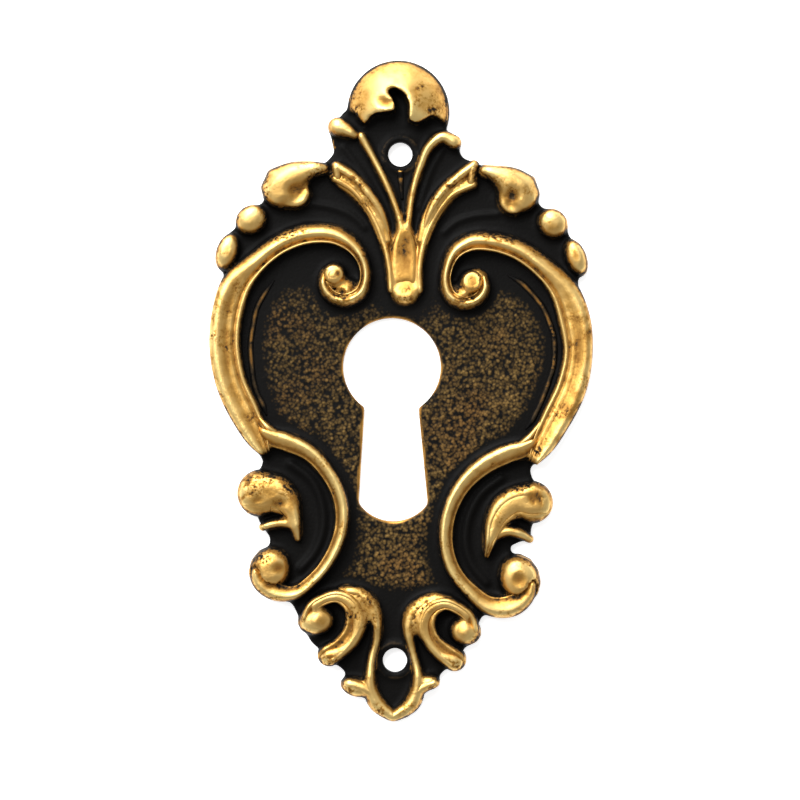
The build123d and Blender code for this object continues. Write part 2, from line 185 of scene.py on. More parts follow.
# Border scrolls, from the spiral beside the stem round to the corner at the waist: x, y, half width
LEFT_BORDER = [
    (-6.05, 11.0, 0.4), (-6.2, 10.0, 0.52), (-5.6, 9.0, 0.6), (-4.35, 8.62, 0.62), (-3.1, 9.25, 0.6),
    (-2.68, 10.5, 0.52), (-2.8, 11.6, 0.52), (-3.5, 12.9, 0.65), (-5.0, 13.95, 0.82), (-7.2, 14.15, 0.9),
    (-9.6, 13.35, 0.9), (-11.7, 11.75, 0.95), (-13.3, 9.95, 1.2), (-14.05, 7.6, 1.2), (-14.25, 5.0, 1.2),
    (-13.7, 1.9, 1.2), (-12.4, -0.9, 1.15), (-11.25, -3.0, 0.8), (-10.75, -3.9, 0.4),
]
RIGHT_BORDER = [
    (6.9, 10.8, 0.4), (7.05, 9.8, 0.52), (6.45, 8.82, 0.6), (5.25, 8.47, 0.62), (4.1, 9.15, 0.6),
    (3.75, 10.2, 0.52), (3.9, 11.5, 0.52), (4.45, 12.7, 0.65), (5.8, 13.6, 0.82), (7.7, 13.6, 0.85),
    (9.8, 12.95, 0.9), (11.8, 11.55, 0.95), (13.4, 9.9, 1.15), (14.4, 7.45, 1.25), (14.75, 4.6, 1.15),
    (14.25, 1.8, 1.2), (12.95, -1.0, 1.15), (11.7, -3.3, 0.85), (11.1, -4.4, 0.4),
]
# Waist scrolls, from the corner under the border down to a ball
LEFT_WAIST = [
    (-11.9, -1.1, 0.2), (-11.25, -1.95, 0.42), (-10.4, -2.48, 0.76), (-9.0, -2.92, 0.84),
    (-7.2, -3.75, 0.75), (-5.6, -5.45, 0.68), (-4.55, -7.7, 0.64), (-4.45, -9.7, 0.62), (-5.2, -12.0, 0.58),
    (-6.7, -14.05, 0.55), (-8.4, -15.25, 0.65), (-10.0, -15.0, 0.88), (-11.1, -14.1, 0.8),
    (-11.4, -13.1, 0.4),
]
RIGHT_WAIST = [
    (12.0, -1.8, 0.2), (11.3, -2.6, 0.42), (10.4, -3.2, 0.76), (9.0, -3.67, 0.88), (7.1, -4.65, 0.85),
    (5.3, -6.4, 0.75), (4.25, -8.7, 0.67), (4.05, -10.9, 0.64), (4.6, -13.0, 0.64), (6.1, -14.9, 0.68),
    (7.9, -16.15, 0.9), (9.6, -16.0, 1.0), (10.75, -14.95, 0.78), (11.1, -13.9, 0.4),
]
# Lips that turn the corner from a border into its waist scroll
LEFT_CORNER = [
    (-12.55, 1.6, 0.1), (-11.85, 0.1, 0.2), (-11.15, -1.1, 0.3), (-10.5, -1.78, 0.36), (-9.8, -2.2, 0.3),
    (-9.0, -2.65, 0.12),
]
RIGHT_CORNER = [
    (12.75, 1.0, 0.1), (12.1, -0.4, 0.2), (11.3, -1.65, 0.3), (10.6, -2.45, 0.36), (9.85, -2.95, 0.3),
    (9.1, -3.4, 0.12),
]
CORNER_CREST = 3.2
# Low spine under the upper pin hole
SPINE = [(0.0, 19.35, 0.32), (0.05, 18.5, 0.24), (0.2, 17.0, 0.14)]
SPINE_CREST = 1.56
# Palmette: stem, blades, ridges and veins
STEM = [(0.42, 14.9, 0.3), (0.42, 13.9, 0.85), (0.42, 12.6, 1.2), (0.45, 10.4, 1.25), (0.55, 9.6, 1.2)]
LEFT_BLADE = [
    (-1.1, 13.4, 0.55), (-2.2, 16.2, 0.8), (-3.6, 17.9, 0.88), (-4.7, 18.75, 0.95), (-5.55, 19.2, 0.6),
]
RIGHT_BLADE = [(1.85, 13.4, 0.55), (2.7, 15.9, 0.8), (3.9, 17.6, 0.88), (5.2, 18.6, 0.95), (6.1, 19.1, 0.6)]
PALMETTE_RIDGES = [
    [(-5.2, 19.6, 0.5), (-3.9, 18.8, 0.52), (-2.6, 17.45, 0.5), (-1.5, 15.8, 0.42), (-1.0, 14.4, 0.3)],
    [(6.0, 19.8, 0.5), (4.6, 18.7, 0.52), (3.3, 17.4, 0.5), (2.4, 15.7, 0.42), (2.0, 14.4, 0.3)],
    [
        (-5.3, 18.6, 0.4), (-3.9, 17.75, 0.38), (-2.6, 16.2, 0.36), (-1.35, 13.6, 0.36), (-0.8, 11.4, 0.36),
        (-0.65, 9.6, 0.36),
    ],
    [
        (6.0, 18.25, 0.4), (4.3, 17.4, 0.38), (3.1, 15.95, 0.36), (2.05, 13.6, 0.36), (1.65, 11.4, 0.36),
        (1.7, 9.6, 0.36),
    ],
    [
        (-3.2, 22.1, 0.42), (-2.3, 20.5, 0.36), (-1.35, 18.7, 0.36), (-0.35, 16.4, 0.32),
        (0.05, 15.2, 0.28), (0.15, 14.3, 0.2),
    ],
    [
        (4.35, 21.7, 0.66), (3.5, 22.1, 0.58), (2.5, 21.45, 0.5), (1.65, 19.7, 0.4), (0.95, 17.0, 0.32),
        (0.78, 15.2, 0.28), (0.75, 14.3, 0.2),
    ],
    [(-5.1, 22.85, 0.85), (-4.5, 22.6, 0.7), (-3.8, 22.2, 0.45)],
    [(-5.2, 19.5, 0.5), (-5.1, 18.8, 0.45)],
    [(5.9, 19.6, 0.5), (5.8, 18.5, 0.45)],
]
# Side leaves and foot leaves, from the rolled head to the thin end
LEFT_LEAF = [
    (-11.1, -7.15, 1.95), (-9.9, -7.15, 1.65), (-9.0, -7.75, 1.25), (-8.45, -8.8, 0.75), (-8.2, -9.8, 0.5),
    (-8.05, -10.8, 0.3),
]
RIGHT_LEAF = [
    (11.05, -7.65, 1.75), (9.9, -7.6, 1.4), (8.85, -8.2, 1.3), (8.1, -9.25, 1.0), (7.7, -10.6, 0.6),
    (7.4, -12.0, 0.25),
]
LEFT_FOOT_BAND = [
    (-5.35, -20.25, 1.0), (-4.5, -19.65, 0.92), (-3.65, -18.6, 0.86), (-3.2, -17.3, 0.98),
    (-3.6, -16.1, 0.85), (-4.7, -15.45, 0.65), (-5.95, -15.75, 0.58), (-6.85, -16.4, 0.6),
    (-7.2, -17.3, 0.6),
]
RIGHT_FOOT_BAND = [
    (4.85, -20.55, 1.0), (3.95, -19.9, 0.9), (3.0, -18.9, 0.8), (2.45, -17.6, 0.92), (2.9, -16.45, 0.82),
    (4.0, -15.95, 0.65), (5.25, -16.4, 0.58), (6.05, -17.1, 0.6), (6.3, -18.0, 0.6),
]
# Round eyes and buttons: sides, foot as a share of the dome's height
BUTTON_SIDES = 36
BUTTON_FOOT = -0.3
# Each of them: x, y, half length, half width, turn, crest
BUTTONS = [
    (-5.35, 10.75, 1.08, 1.0, 20, 2.95), (6.0, 10.25, 1.12, 1.08, 0, 2.95),
    (-5.55, 10.4, 1.15, 1.2, 0, 2.45), (6.35, 10.3, 1.08, 1.2, 0, 2.45),
    (-6.35, -17.45, 1.45, 1.25, 10, 2.7), (5.65, -18.2, 1.3, 1.2, -15, 2.7),
]
# Curl tails, buds and ridges of the leaves, then the long ridges of the foot leaves
LEAF_RIDGES = [
    [(-8.8, 18.9, 0.95), (-7.6, 19.22, 0.76), (-6.4, 19.34, 0.66)],
    [(9.2, 18.75, 0.95), (8.1, 19.1, 0.76), (6.95, 19.3, 0.66)],
    [(-3.7, -22.6, 0.6), (-2.6, -22.9, 0.62), (-1.75, -23.4, 0.6)],
    [(3.2, -22.45, 0.5), (2.3, -22.8, 0.6), (1.7, -23.3, 0.6)],
    [(-10.9, -9.9, 0.34), (-10.1, -9.5, 0.34), (-9.1, -9.55, 0.34), (-8.3, -9.9, 0.4)],
    [(-12.0, -8.5, 0.35), (-10.8, -8.3, 0.42), (-9.6, -8.5, 0.42), (-8.55, -9.0, 0.3)],
    [(11.7, -8.85, 0.35), (10.6, -8.65, 0.42), (9.6, -8.75, 0.42), (8.7, -9.25, 0.3)],
    [(10.9, -10.65, 0.35), (10.1, -10.2, 0.5), (9.0, -10.0, 0.55), (7.9, -10.4, 0.6)],
    [
        (-4.4, -14.95, 0.4), (-3.1, -15.2, 0.65), (-2.2, -15.9, 0.8), (-1.75, -16.9, 0.75),
        (-1.5, -17.9, 0.52), (-1.5, -18.9, 0.42), (-1.85, -20.3, 0.4), (-2.0, -21.6, 0.48),
        (-2.0, -22.8, 0.62), (-1.35, -24.25, 0.75), (-0.1, -25.2, 0.5),
    ],
    [
        (4.4, -15.65, 0.4), (3.1, -15.65, 0.65), (1.95, -16.25, 0.8), (1.3, -17.1, 0.78), (1.1, -18.1, 0.6),
        (1.25, -19.1, 0.46), (1.55, -20.3, 0.42), (1.85, -21.6, 0.48), (1.9, -22.7, 0.62),
        (1.4, -24.15, 0.75), (-0.1, -25.2, 0.5),
    ],
]

# Pebbled ground, between the borders and the waist scrolls and down to the foot leaves
PEBBLE_PITCH = 0.34
PEBBLE_SEAM = 0.5
PEBBLE_RISE = 0.06
PEBBLE_TOP = 10.4
PEBBLE_FOOT = -15.4
PEBBLE_FADE = 1.6
PEBBLE_LEAST = 0.01
# Carving that the pebbles keep clear of: its rise, its blur, the shares that stop and clear them
CARVING_RISE = 0.4
CARVING_BLUR = 0.5
CARVING_CLEAR = (0.25, 0.02)
# Pebbles take more brass colour towards the lower right: how much more the lower right has, half span of
# that change; and their share in the seams
PEBBLE_LOWER_RIGHT_GAIN = 0.6
LOWER_RIGHT_SPAN = 12.0
SEAM_WEAR = 0.4
# Distance from the stem's foot over which the pebbles come up out of its shade
STEM_SHADE = (1.6, 3.8)
# Bare ground along the edges, how much wider it gets between the waist scrolls, and from where to where
BARE_EDGE = 0.3
FOOT_SHADE = 0.9
FOOT_ZONE = (-8.0, -12.0)
# Stations of a waist scroll that lie along the pebbled ground
ALONG_GROUND = slice(3, 11)
# Edges of the pebbled ground, down a border's step and on down its waist scroll
LEFT_EDGE = LEFT_STEP + [(x, y) for x, y, half_width in LEFT_WAIST[ALONG_GROUND]]
RIGHT_EDGE = RIGHT_STEP + [(x, y) for x, y, half_width in RIGHT_WAIST[ALONG_GROUND]]

# Bright edge of the keyhole: box round it, width of the edge, levels of the hole and of the brim, burnish
KEY_BOX = ((-5.0, -10.0), (4.0, 8.0))
KEY_EDGE = 0.3
KEY_FLOOR = 0.3
KEY_BRIM = 0.6
KEY_SHARE = (0.06, 0.25)
KEY_BURNISH = 0.65

# Hollows in the carving, and ovals of painted shade: the brown lowers the worn share there, partly for the
# patina in the hollows and partly as painted shade on concave and lower-right facing sides, under the
# crown's hook and down the right border: x, y, half length, half width, turn, depth, brown
HOLLOWS_AND_SHADE = [
    (-1.2, 24.7, 1.2, 0.7, -20, 0.3, 0.55), (2.2, 24.7, 1.3, 1.0, 30, 0.1, 0.04),
    (1.2, 25.6, 0.8, 0.7, 60, 0.06, 0.3), (-2.9, 25.2, 0.5, 0.9, 0, 0.06, 0.2),
    (0.45, 12.6, 2.4, 0.95, 90, 0.2, 0.52), (0.42, 15.5, 0.9, 0.24, 90, 0.45, 0.85),
    (15.0, 5.6, 5.0, 1.2, 88, 0.0, 0.34), (14.1, 0.4, 3.0, 1.2, 66, 0.0, 0.3),
    (-14.0, 4.0, 3.0, 0.5, -88, 0.0, 0.12), (-8.3, 17.6, 1.3, 0.85, 65, 0.22, 0.5),
    (9.1, 17.0, 1.3, 0.9, 90, 0.2, 0.5), (0.5, 9.7, 1.2, 1.0, 0, 0.2, 0.2),
    (11.6, -7.3, 1.1, 0.2, -65, 0.12, 0.75), (11.0, -7.4, 0.8, 0.18, -60, 0.08, 0.5),
    (-12.2, -6.2, 0.8, 0.24, 60, 0.1, 0.65), (-12.5, -7.5, 0.5, 0.2, 50, 0.08, 0.55),
    (-5.35, 10.8, 1.2, 1.1, 0, 0.32, 0.1), (6.0, 10.5, 1.2, 1.1, 0, 0.3, 0.15),
    (-10.5, -6.9, 1.9, 1.6, 0, 0.0, 0.22), (-10.8, -12.8, 1.5, 1.5, 0, 0.0, 0.2),
    (-8.5, -7.6, 0.7, 2.0, 0, 0.0, 0.35), (-11.7, 14.8, 0.9, 0.7, 30, 0.04, 0.08),
    (-13.95, 12.6, 1.1, 0.55, 75, 0.04, 0.25), (12.4, 14.8, 1.0, 0.8, -40, 0.05, 0.35),
    (14.3, 12.6, 1.1, 0.55, -65, 0.05, 0.4), (-9.5, -7.9, 0.8, 0.55, 0, 0.25, 0.65),
    (-11.3, -7.7, 0.7, 0.45, 0, 0.12, 0.4), (11.2, -7.2, 1.0, 0.9, 0, 0.12, 0.5),
    (-9.5, -13.2, 0.8, 0.7, 0, 0.2, 0.65), (10.0, -13.9, 1.0, 0.9, 0, 0.15, 0.6),
    (-4.95, 10.85, 0.3, 0.45, 0, 0.05, 0.75), (6.0, 10.1, 0.8, 0.9, 0, 0.1, 0.45),
    (-5.9, -17.4, 0.8, 0.7, 10, 0.08, 0.28), (5.3, -18.1, 0.8, 0.7, -15, 0.08, 0.3),
    (-4.2, 9.4, 1.1, 0.6, -5, -0.2, 0.0), (5.1, 9.2, 1.1, 0.6, 5, -0.25, 0.0),
]

# One row in this many is kept of a swell's curve
SWELL_SKIP = 4
# Soft swells in the dark ground: half width, rise, and the line
SWELLS = [
    (0.55, 0.28, [(-8.7, -4.7), (-7.0, -6.0), (-6.1, -8.0), (-6.0, -10.0), (-6.7, -12.0), (-7.9, -13.4)]),
    (0.55, 0.28, [(8.5, -5.7), (6.9, -7.0), (5.9, -9.0), (5.7, -11.2), (6.3, -13.0), (7.5, -14.4)]),
    (0.3, 0.15, [(-4.7, 21.3), (-3.6, 19.9), (-2.4, 18.2), (-1.3, 16.2)]),
    (0.3, 0.15, [(3.6, 21.3), (2.6, 19.5), (2.0, 17.8), (1.5, 16.0)]),
    (0.4, 0.18, [(-7.6, 16.6), (-5.5, 16.3), (-3.8, 15.6), (-2.5, 14.3)]),
    (0.4, 0.18, [(8.0, 15.9), (6.0, 15.7), (4.6, 15.2), (3.3, 14.0)]),
]

# Places where the finish clings in specks: x, y, half length, half width, turn
SOILED = [
    (-10.9, -5.9, 2.0, 0.9, -5), (10.2, -6.5, 1.6, 0.7, 20), (-2.4, -15.6, 1.9, 1.0, -35),
    (2.2, -16.2, 1.9, 1.0, 35), (-4.7, 8.9, 1.8, 0.7, 0), (5.5, 8.8, 1.8, 0.7, 0),
    (11.5, -3.5, 0.9, 0.6, 60), (-3.4, 18.3, 1.6, 0.55, -45), (4.1, 18.2, 1.6, 0.55, 45),
    (-10.9, 17.6, 0.6, 1.4, 0), (-8.9, -6.6, 1.0, 1.7, 10), (-9.0, 13.9, 3.0, 0.7, 15),
    (8.0, 13.9, 3.0, 0.7, -10), (-10.7, -12.4, 1.1, 0.8, 0), (-11.6, -6.8, 1.4, 1.2, 0),
    (1.6, 26.1, 0.9, 0.6, 40), (2.6, 24.2, 1.2, 0.7, 0), (-3.4, 24.3, 0.8, 0.6, 0),
    (-1.7, -17.2, 0.6, 1.4, 10), (1.5, -17.4, 0.6, 1.4, -10), (-5.6, -20.6, 1.3, 0.6, 35),
    (5.0, -20.9, 1.3, 0.6, -35), (-7.3, -18.5, 0.9, 0.7, 30), (6.6, -19.0, 0.9, 0.7, -30),
    (-3.6, -23.0, 0.9, 0.6, -10), (3.1, -22.8, 0.8, 0.5, 10), (-1.2, -24.6, 1.2, 0.5, -40),
    (1.0, -24.5, 1.2, 0.5, 40), (0.6, 8.9, 1.4, 0.5, 0),
]

# Seats of the two pins: y of each, radius and rise of the seat, ring of bare metal
PINS = (20.725, -20.725)
PIN_SEAT = 1.9
PIN_SEAT_RISE = 0.35
PIN_RING = 1.45
PIN_RING_WIDTH = 0.16
PIN_RING_BURNISH = 0.2

# Unevenness of the cast skin, and the spare room inside the solid's box
CAST_PITCH = 0.8
CAST_RISE = 0.03
EDGE_SPARE = 0.005

# Ground and raised carving: heights off the ground, and how far up the surface looks
GROUND_SPREAD = (0.2, 0.05)
GROUND_TILT = (0.7, 0.9)
UPWARD_TILT = (0.3, 0.8)
RAISED = (0.08, 0.4)
# Outer rim: reach, share of outside, levels and tilt of its brink, rise and exposure of the carving on it
RIM_REACH = 0.3
RIM_SHARE = 0.2
BRINK_LEVEL = (0.55, 0.95)
BRINK_TILT = 0.85
RIM_RISE = 0.1
RIM_EXPOSED = 0.75
# How far the finish is rubbed through to the brass
OPEN_DIRECTIONS = 16
OPEN_REACHES = (0.1, 0.2, 0.3, 0.45, 0.65, 0.9, 1.2, 1.6)
OPEN_BLUR = 0.15
OPEN_SHARE = (0.25, 0.85)
OPEN_TILT = (-0.1, 0.75)
CREST_REACH = 0.7
CREST_RISE = (0.2, 0.75)

# Clouds in the finish: scale per metre, detail, level that gives none, level that gives all
PATCHES = (500.0, 2.0, 0.55, 0.8)
SPECKS = (4200.0, 3.0, 0.45, 0.68)
STAINS = (1700.0, 2.0, 0.5, 0.64)
TINGE = (900.0, 3.0, 0.4, 0.75)
CLUMPS = (2600.0, 3.0, 0.3, 0.7)
RUSSET_PATCHES = (260.0, 2.0, 0.5, 0.75)
# Grains of the pebbles: scale per metre, distances from a grain's middle that give none and all
GRAINS = (3800.0, 0.84, 0.06)
# How strongly each of them counts
DIRT_STRENGTH = 0.85
PASSAGE_STRENGTH = 0.6
TINGE_STRENGTH = 0.25
CLUMP_STRENGTH = (0.2, 1.3)
TIP_STRENGTH = 0.34
# Colours of the finish, from untouched to worn bare, whose brown middle stops also show the painted shade
# of the hollows and coves: wear, colour
TONES = [
    (0.0, (0.0042, 0.004, 0.0038)), (0.2, (0.036, 0.024, 0.012)), (0.42, (0.24, 0.112, 0.022)),
    (0.67, (0.53, 0.295, 0.07)), (0.92, (0.7, 0.445, 0.14)),
]
# Pale brass of the worn crests: partly polish, partly a painted highlight that makes their shine paler
POLISHED_HIGHLIGHT_BRASS = (0.8, 0.6, 0.24)
PEBBLE_BRASS = (0.33, 0.2, 0.062)
RUSSET = (0.18, 0.075, 0.02)
# Wear over which a crest takes its polish and its painted highlight, a pebble takes colour, the finish
# turns to metal and gets smoother
POLISH_WEAR = (0.6, 0.95)
TIP_WEAR = (0.02, 0.6)
METAL_WEAR = (0.25, 0.6)
ROUGH_WEAR = (0.1, 0.7)
ROUGHNESS = (0.5, 0.46)
FINISH_SHINE = 0.05
# Grit of the surface: strength, depth in metres, and the rise of a speck
GRIT_STRENGTH = 0.3
GRIT_DEPTH = 0.0001
SPECK_RISE = -0.2
# Sockets of a colour mix
MIX_SHARE = 0
MIX_PLAIN = 6
MIX_TINT = 7
MIX_RESULT = 2


def polyline_distance(points, line):
    """Distance of each point from a bent line, and its side: above zero on the left of the way along."""
    best = np.full(len(points), np.inf)
    side = np.zeros(len(points))
    for start, end in zip(line, line[1:]):
        a = np.array(start)
        way = np.array(end) - a
        share = np.clip((points - a) @ way / (way @ way), 0.0, 1.0)
        gap = points - a - share[:, None] * way
        distance = np.hypot(gap[:, 0], gap[:, 1])
        nearer = distance < best
        best = np.where(nearer, distance, best)
        side = np.where(nearer, way[0] * gap[:, 1] - way[1] * gap[:, 0], side)
    return best, side


def beyond(points, line, hand):
    """How far each point lies on one side of a bent line, else 0: hand 1 is the left of the way along."""
    gap, side = polyline_distance(points, line)
    return np.where(hand * side > 0, gap, 0.0)


def smooth_step(low, high, value):
    share = np.clip((value - low) / (high - low), 0.0, 1.0)
    return share * share * (3.0 - 2.0 * share)


def oval_share(points, x, y, half_length, half_width, turn):
    """1 in the middle of an oval, down to 0 at its edge."""
    angle = math.radians(turn)
    along = (points[:, 0] - x) * math.cos(angle) + (points[:, 1] - y) * math.sin(angle)
    across = (points[:, 1] - y) * math.cos(angle) - (points[:, 0] - x) * math.sin(angle)
    return 1.0 - smooth_step(0.0, 1.0, np.hypot(along / half_length, across / half_width))


def mesh_points(mesh):
    flat = np.empty(3 * len(mesh.vertices))
    mesh.vertices.foreach_get("co", flat)
    return flat.reshape(-1, 3)


def mesh_normals(mesh):
    flat = np.empty(3 * len(mesh.vertices), np.float32)
    mesh.vertices.foreach_get("normal", flat)
    return flat.reshape(-1, 3).astype(float)


def note(mesh, name, values):
    mesh.attributes.new(name, "FLOAT", "POINT").data.foreach_set("value", values.astype(np.float32))


def even_skin(node):
    """The solid's surface as an even fine mesh in millimetres, rounded at its edges, with a plain back."""
    bm = bmesh.new()
    bm.from_mesh(node.data)
    bmesh.ops.remove_doubles(bm, verts=bm.verts, dist=SAME_POINT)
    bmesh.ops.scale(bm, vec=(1.0 / MM,) * 3, verts=bm.verts)
    rough = bpy.data.meshes.new("casting")
    bm.to_mesh(rough)
    bm.free()
    holder = bpy.data.objects.new("casting", rough)
    bpy.context.scene.collection.objects.link(holder)
    skin = holder.modifiers.new("even skin", "REMESH")
    skin.mode = "VOXEL"
    skin.voxel_size = SKIN_GRAIN
    skin.adaptivity = 0.0
    even = bpy.data.meshes.new_from_object(holder.evaluated_get(bpy.context.evaluated_depsgraph_get()))
    bpy.data.objects.remove(holder)

    bm = bmesh.new()
    bm.from_mesh(even)
    lowest = [face for face in bm.faces if face.calc_center_median().z < 0.5 * SKIN_GRAIN]
    back = [face for face in lowest if face.normal.z < SKIN_BACK_TILT]
    bmesh.ops.delete(bm, geom=back, context="FACES")
    for vert in bm.verts:
        if vert.is_boundary:
            vert.co.z = BACK
    free = [vert for vert in bm.verts if vert.co.z > 2.0 * SKIN_GRAIN]
    for turn in range(SKIN_SMOOTHINGS):
        bmesh.ops.smooth_vert(
            bm, verts=free, factor=SKIN_SMOOTHING, use_axis_x=True, use_axis_y=True, use_axis_z=True)
    bmesh.ops.triangle_fill(bm, edges=[edge for edge in bm.edges if edge.is_boundary], use_beauty=True)
    bmesh.ops.recalc_face_normals(bm, faces=bm.faces)
    bm.to_mesh(even)
    bm.free()
    return even


class HeightField:
    """Heights of the face on an even grid, for how open each place is."""

    GRID = 0.2
    MARGIN = 3.0

    def __init__(self, points):
        self.low = points[:, :2].min(0) - self.MARGIN
        size = np.ceil((points[:, :2].max(0) + self.MARGIN - self.low) / self.GRID).astype(int) + 1
        self.height = np.zeros(size)
        cells = np.round((points[:, :2] - self.low) / self.GRID).astype(int)
        np.maximum.at(self.height, (cells[:, 0], cells[:, 1]), points[:, 2])
        self.height = self.filled(self.height)

    @staticmethod
    def filled(height):
        """Cells that no point fell in take the mean of their neighbours' heights."""
        padded = np.pad(height, 1)
        near = np.stack([padded[:-2, 1:-1], padded[2:, 1:-1], padded[1:-1, :-2], padded[1:-1, 2:]])
        known = (near > 0).sum(0)
        mean = near.sum(0) / np.maximum(known, 1)
        return np.where((height <= 0) & (known >= 2), mean, height)

    def blurred(self, grid, radius):
        reach = int(3 * radius / self.GRID)
        taps = np.exp(-0.5 * (np.arange(-reach, reach + 1) * self.GRID / radius) ** 2)
        taps /= taps.sum()
        for axis in (0, 1):
            grid = np.apply_along_axis(lambda row: np.convolve(row, taps, mode="same"), axis, grid)
        return grid

    def openness(self):
        """Share of the sky that each cell sees over what stands round it."""
        total = np.zeros_like(self.height)
        for turn in range(OPEN_DIRECTIONS):
            angle = 2.0 * math.pi * turn / OPEN_DIRECTIONS
            horizon = np.zeros_like(self.height)
            for reach in OPEN_REACHES:
                shift = [int(round(-reach * way / self.GRID)) for way in (math.cos(angle), math.sin(angle))]
                there = np.roll(self.height, shift, axis=(0, 1))
                horizon = np.maximum(horizon, (there - self.height) / reach)
            total += 1.0 - horizon / np.sqrt(1.0 + horizon**2)
        return total / OPEN_DIRECTIONS

    def at(self, grid, points):
        """The grid's value at each point, between its cells."""
        place = (points[:, :2] - self.low) / self.GRID
        cell = np.floor(place).astype(int)
        u, v = (place - cell).T
        x, y = cell.T
        return ((1 - u) * (1 - v) * grid[x, y] + u * (1 - v) * grid[x + 1, y]
                + (1 - u) * v * grid[x, y + 1] + u * v * grid[x + 1, y + 1])


def smooth_way(stations):
    """Even rows along a smooth curve through the stations: x, y and half width."""
    stations = np.array(stations, float)
    reach = np.concatenate([[0.0], np.cumsum(np.hypot(*np.diff(stations[:, :2], axis=0).T))])
    slope = np.gradient(stations, reach, axis=0)
    marks = np.linspace(0.0, reach[-1], int(reach[-1] / WAY_STEP) + 2)
    start = np.clip(np.searchsorted(reach, marks, side="right") - 1, 0, len(reach) - 2)
    span = reach[start + 1] - reach[start]
    share = ((marks - reach[start]) / span)[:, None]
    rows = (2 * share**3 - 3 * share**2 + 1) * stations[start]
    rows += (share**3 - 2 * share**2 + share) * span[:, None] * slope[start]
    rows += (3 * share**2 - 2 * share**3) * stations[start + 1]
    rows += (share**3 - share**2) * span[:, None] * slope[start + 1]
    return rows


def round_head(end, inner):
    """Rows of a rounded head beyond an end row, going outwards."""
    away = (end[:2] - inner[:2]) / np.hypot(*(end[:2] - inner[:2]))
    turns = np.linspace(0.0, 0.5 * math.pi, max(HEAD_STEPS, int(end[2] / HEAD_STEP)) + 1)[1:]
    head = np.empty((len(turns), 4))
    head[:, :2] = end[:2] + np.sin(turns)[:, None] * away * end[2]
    head[:, 2] = np.maximum(end[2] * np.cos(turns), HEAD_TIP)
    head[:, 3] = end[3] * np.maximum(np.cos(turns), 0.0) ** HEAD_FALL
    return head


def risen(rows, rounded):
    """The rows with a share of rise, and with a rounded head beyond both ends where the bar is rounded."""
    full = np.column_stack([rows, np.minimum(1.0, rows[:, 2] / FULL_HALF_WIDTH)])
    if not rounded:
        return full
    return np.concatenate([round_head(full[0], full[1])[::-1], full, round_head(full[-1], full[-2])])


def skirted(profile):
    """The profile with a skirt below each foot, closed under the bar."""
    foot = (profile[0][0], SKIRT_MARK, 1.0)
    return np.array([foot] + list(profile) + [(profile[-1][0], SKIRT_MARK, 1.0), foot])


def closed(mesh):
    """The mesh with its seam merged, its open ends filled and its faces turned outwards."""
    bm = bmesh.new()
    bm.from_mesh(mesh)
    bmesh.ops.remove_doubles(bm, verts=bm.verts, dist=BAR_SEAM)
    bmesh.ops.holes_fill(bm, edges=[edge for edge in bm.edges if edge.is_boundary], sides=0)
    bmesh.ops.recalc_face_normals(bm, faces=bm.faces)
    bm.to_mesh(mesh)
    bm.free()
    return mesh


def laid_moulding(stations, crest, profile, outer=1, rounded=False, last_profile=None):
    """A closed bar laid over a moulding of the solid, with each point's worn share from the profile, which
    also carries painted shade and painted highlight.

    Outer is 1 where the profile's outer foot is on the left of the way along, and -1 on the right.
    With a last profile, the bar passes into it on its way."""
    rows = risen(smooth_way(stations), rounded)
    ahead = np.gradient(rows[:, :2], axis=0)
    ahead /= np.hypot(*ahead.T)[:, None]
    left = np.column_stack([-ahead[:, 1], ahead[:, 0]])
    first = skirted(profile)
    last = skirted(last_profile or profile)
    passed = smooth_step(*BORDER_CHANGE, np.linspace(0.0, 1.0, len(rows)))

    bm = bmesh.new()
    bmesh.ops.create_grid(bm, x_segments=len(rows) - 1, y_segments=len(first) - 1, size=HALF_GRID)
    bar = bpy.data.meshes.new("moulding")
    bm.to_mesh(bar)
    bm.free()
    flat = mesh_points(bar)
    row = np.round((flat[:, 0] + HALF_GRID) * (len(rows) - 1)).astype(int)
    column = np.round((flat[:, 1] + HALF_GRID) * (len(first) - 1)).astype(int)
    share = passed[row, None]
    side, up, rub_and_painted_light = ((1.0 - share) * first[column] + share * last[column]).T
    place = np.empty_like(flat)
    place[:, :2] = rows[row, :2] + (outer * side * rows[row, 2])[:, None] * left[row]
    place[:, 2] = np.where(up < 0, SKIRT, GROUND + np.maximum(up, 0.0) * (crest - GROUND) * rows[row, 3])
    bar.vertices.foreach_set("co", place.ravel())
    note(bar, "rubbing_and_painted_light", rub_and_painted_light)
    return closed(bar)


def laid_button(x, y, half_length, half_width, turn, crest):
    """A domed oval laid over an eye of the solid."""
    bm = bmesh.new()
    bmesh.ops.create_uvsphere(bm, u_segments=BUTTON_SIDES, v_segments=BUTTON_SIDES // 2, radius=1.0)
    bmesh.ops.bisect_plane(
        bm, geom=bm.verts[:] + bm.edges[:] + bm.faces[:], plane_co=(0, 0, BUTTON_FOOT), plane_no=(0, 0, 1),
        clear_inner=True)
    bmesh.ops.scale(bm, vec=(half_length, half_width, crest - GROUND), verts=bm.verts)
    bmesh.ops.rotate(bm, cent=(0, 0, 0), matrix=Matrix.Rotation(math.radians(turn), 3, "Z"), verts=bm.verts)
    bmesh.ops.translate(bm, vec=(x, y, GROUND), verts=bm.verts)
    dome = bpy.data.meshes.new("button")
    bm.to_mesh(dome)
    bm.free()
    note(dome, "rubbing_and_painted_light", np.ones(len(dome.vertices)))
    return closed(dome)


def laid_scrolls():
    """The two border scrolls and the two waist scrolls."""
    return [
        laid_moulding(LEFT_BORDER, SCROLL_CREST, CRESTED, outer=-1, last_profile=LIPPED),
        laid_moulding(RIGHT_BORDER, SCROLL_CREST, CRESTED, last_profile=LIPPED),
        laid_moulding(LEFT_WAIST, SCROLL_CREST, ROLLED),
        laid_moulding(RIGHT_WAIST, SCROLL_CREST, ROLLED, outer=-1),
    ]


